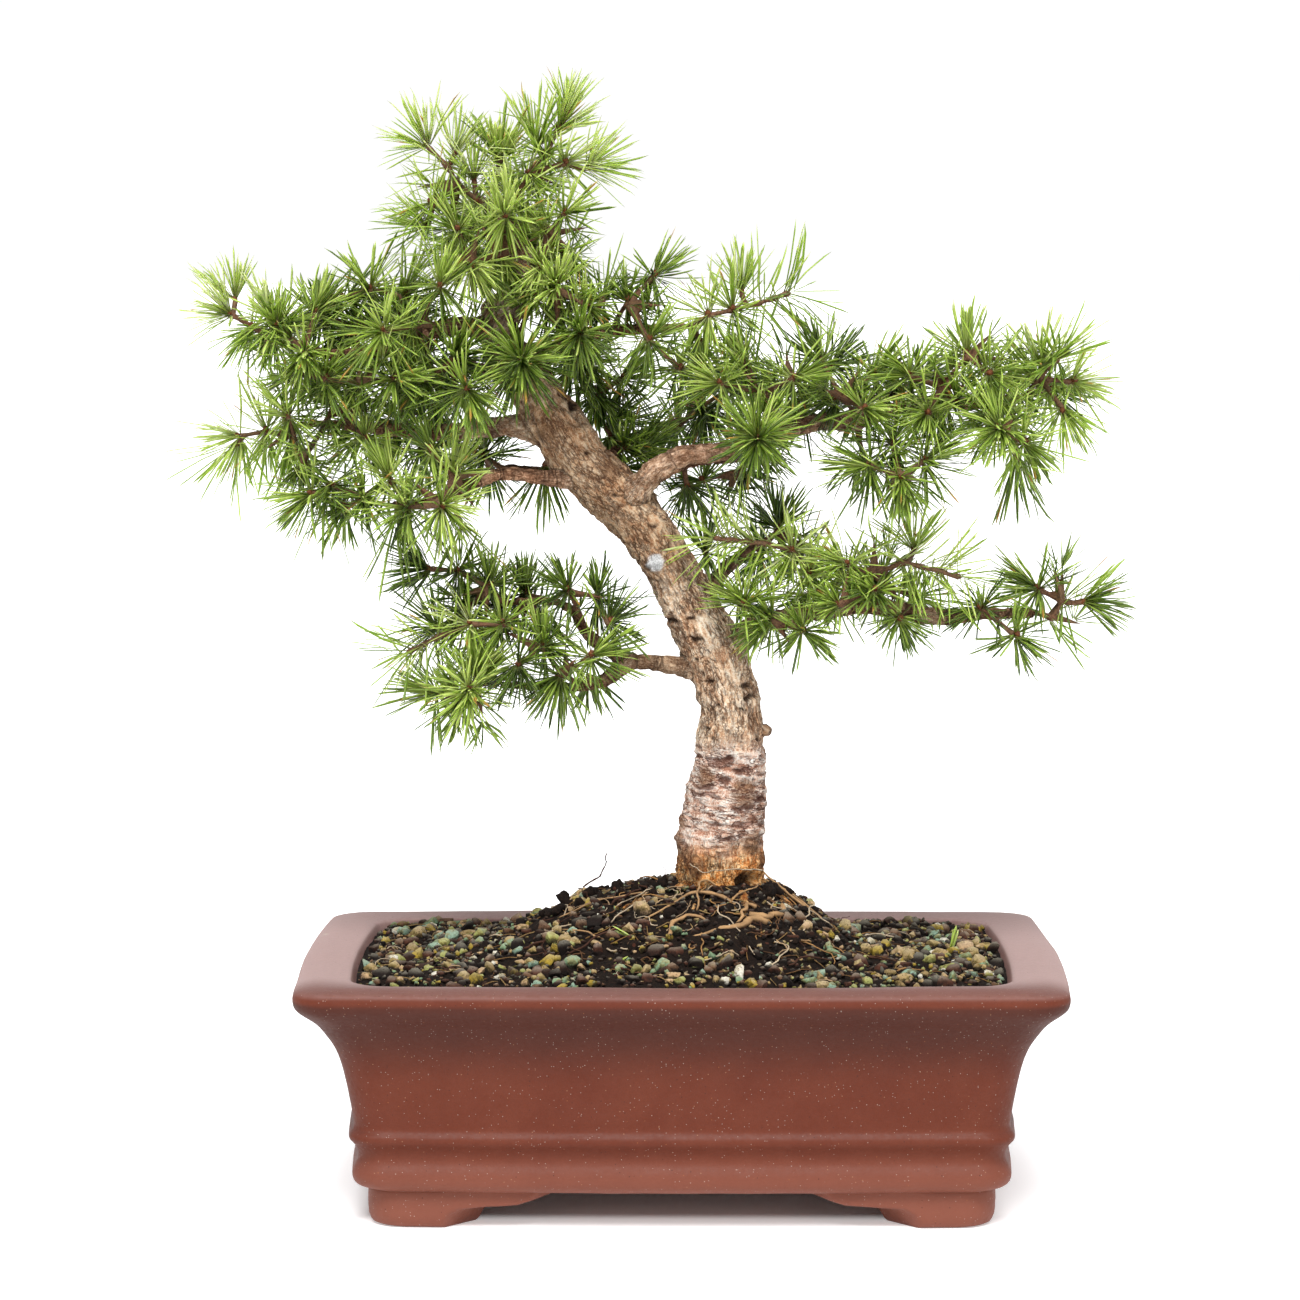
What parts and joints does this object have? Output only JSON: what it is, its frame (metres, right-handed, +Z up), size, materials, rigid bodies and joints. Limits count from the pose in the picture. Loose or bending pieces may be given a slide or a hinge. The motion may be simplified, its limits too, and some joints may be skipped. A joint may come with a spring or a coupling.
{
  "type": "larch bonsai in a pot",
  "caption": "Larch bonsai with a leaning, curved trunk and tiers of soft needles, rooted in a mound of gritty soil in a low rectangular stoneware pot with bracket feet.",
  "frame": {"origin": "on the ground, below the middle of the whole object's box, which lies 14 mm to the left of the pot's middle", "axes": "+Z up; +X to the right seen from the tree's front, along the pot's length; +Y to the back"},
  "size_m": [0.4072, 0.225, 0.4775],
  "materials": {
    "stoneware": "matt unglazed red-brown stoneware, greyer and slightly polished on the lip",
    "soil": "coarse damp grit: dark humus with tan, greenish and red-brown lava grains",
    "bark": "rough fissured light brown bark with horizontal creases",
    "needles": "satin mid to dark green needles",
    "young_needles": "satin bright yellow-green needles",
    "screen": "matt black plastic mesh",
    "wire": "brown anodised soft wire"
  },
  "bodies": {
    "root": {"pot": "stoneware", "soil": "soil", "trunk": "bark", "screen_left": "screen", "staple_left": "wire", "screen_right": "screen", "staple_right": "wire", "spray_crown_left": "young_needles", "spray_crown_right": "young_needles", "spray_crown_front": "needles", "spray_crown_right_side": "needles", "spray_crown_back": "needles", "spray_crown_back_right": "needles", "spray_crown_low_right": "needles", "spray_top_left_front": "needles", "spray_top_left_above": "needles", "spray_top_left_below": "needles", "spray_top_left_end": "young_needles", "spray_top_left_big": "needles", "spray_top_left_back": "needles", "spray_back_left_end": "needles", "spray_centre_big": "needles", "spray_centre_right": "needles", "spray_centre_left": "needles", "spray_top_right_middle": "needles", "spray_top_right_end": "young_needles", "spray_centre_back": "needles", "spray_back_top_end": "needles", "spray_right_big": "needles", "spray_right_above": "needles", "spray_right_middle": "needles", "spray_right_hanging": "needles", "spray_right_crest": "needles", "spray_right_big_outer": "needles", "spray_right_end": "needles", "spray_right_end_back": "needles", "spray_right_back": "needles", "spray_right_back_inner": "needles", "spray_right_inner_end": "needles", "spray_back_middle_end": "needles", "spray_low_right_shoot": "young_needles", "spray_low_right_far": "young_needles", "spray_low_right_inner": "needles", "spray_low_right_under": "needles", "spray_low_right_outer": "needles", "spray_low_right_end": "needles", "spray_low_right_back": "needles", "spray_back_low_end": "needles", "spray_left_end": "young_needles", "spray_left_above": "needles", "spray_left_front": "needles", "spray_left_low_end": "needles", "spray_left_back": "needles", "spray_back_left_low_end": "needles", "spray_low_left_bright": "needles", "spray_low_left_end": "young_needles", "spray_low_left_shoot": "young_needles", "spray_low_left_middle": "needles", "spray_low_left_under": "needles", "spray_low_left_back": "needles"}
  },
  "joints": []
}
